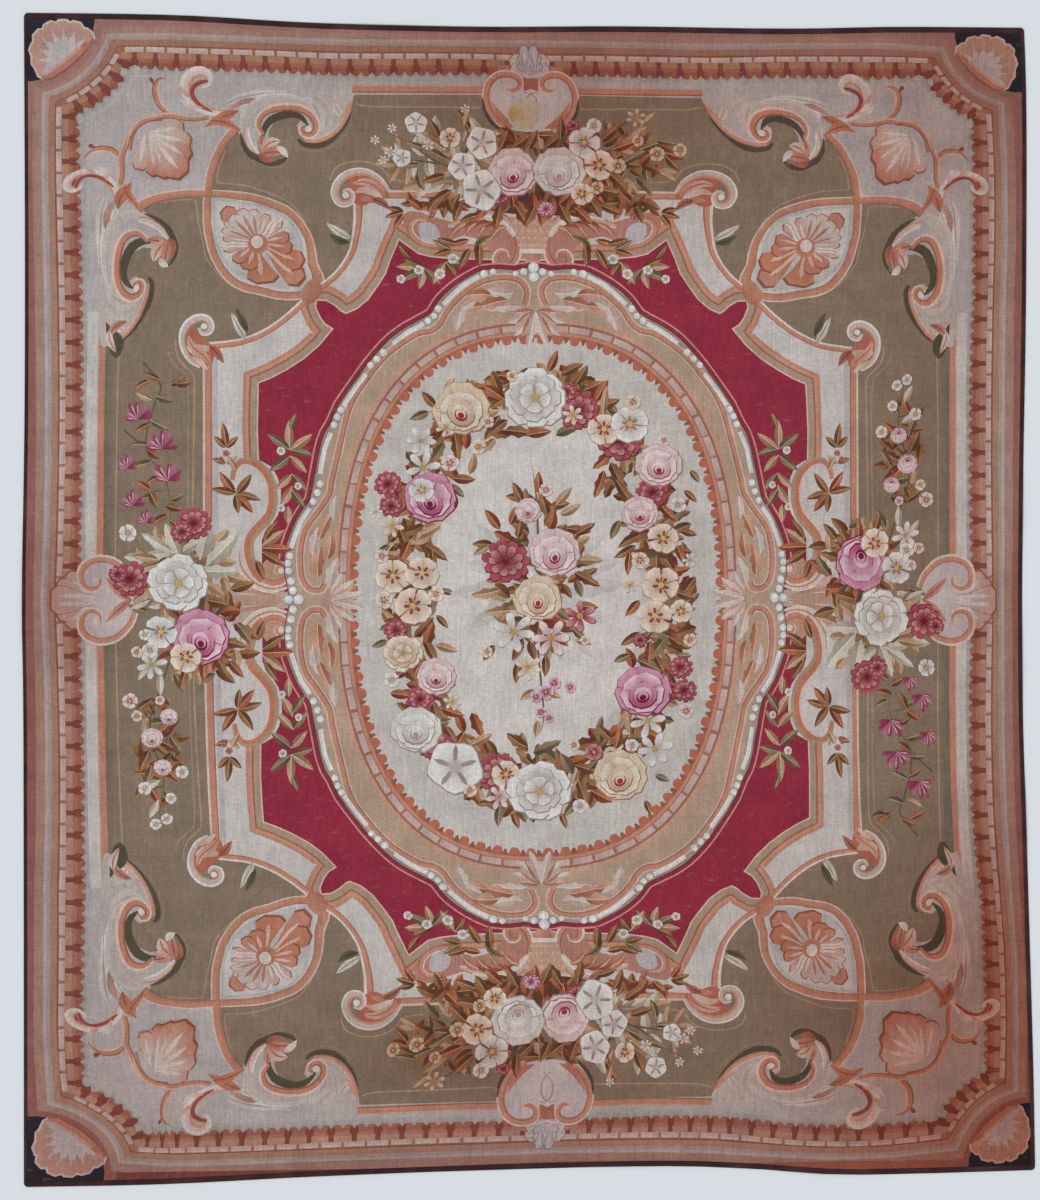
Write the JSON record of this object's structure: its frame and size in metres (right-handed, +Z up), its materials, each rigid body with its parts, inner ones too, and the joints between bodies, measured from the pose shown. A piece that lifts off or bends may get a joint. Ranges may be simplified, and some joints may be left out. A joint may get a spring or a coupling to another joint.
{
  "type": "aubusson rug",
  "caption": "Large flat tapestry-woven floor rug with a floral medallion and scrolled borders, edged with a sewn-on dark tape.",
  "frame": {"origin": "under the middle of the rug's box, on the floor it lies on", "axes": "+X to the pattern's right, +Y to the pattern's top, +Z up from the floor"},
  "size_m": [3.0894, 3.5806, 0.0069],
  "materials": {
    "tapestry_wool": "matt hand-spun wool weft in ribbed tapestry weave, softly faded",
    "edging_wool": "matt dark brown woven wool tape"
  },
  "bodies": {
    "root": {"tapestry": "tapestry_wool", "edging_left": "edging_wool", "edging_right": "edging_wool", "edging_top_left": "edging_wool", "edging_top_right": "edging_wool", "edging_bottom": "edging_wool"}
  },
  "joints": []
}
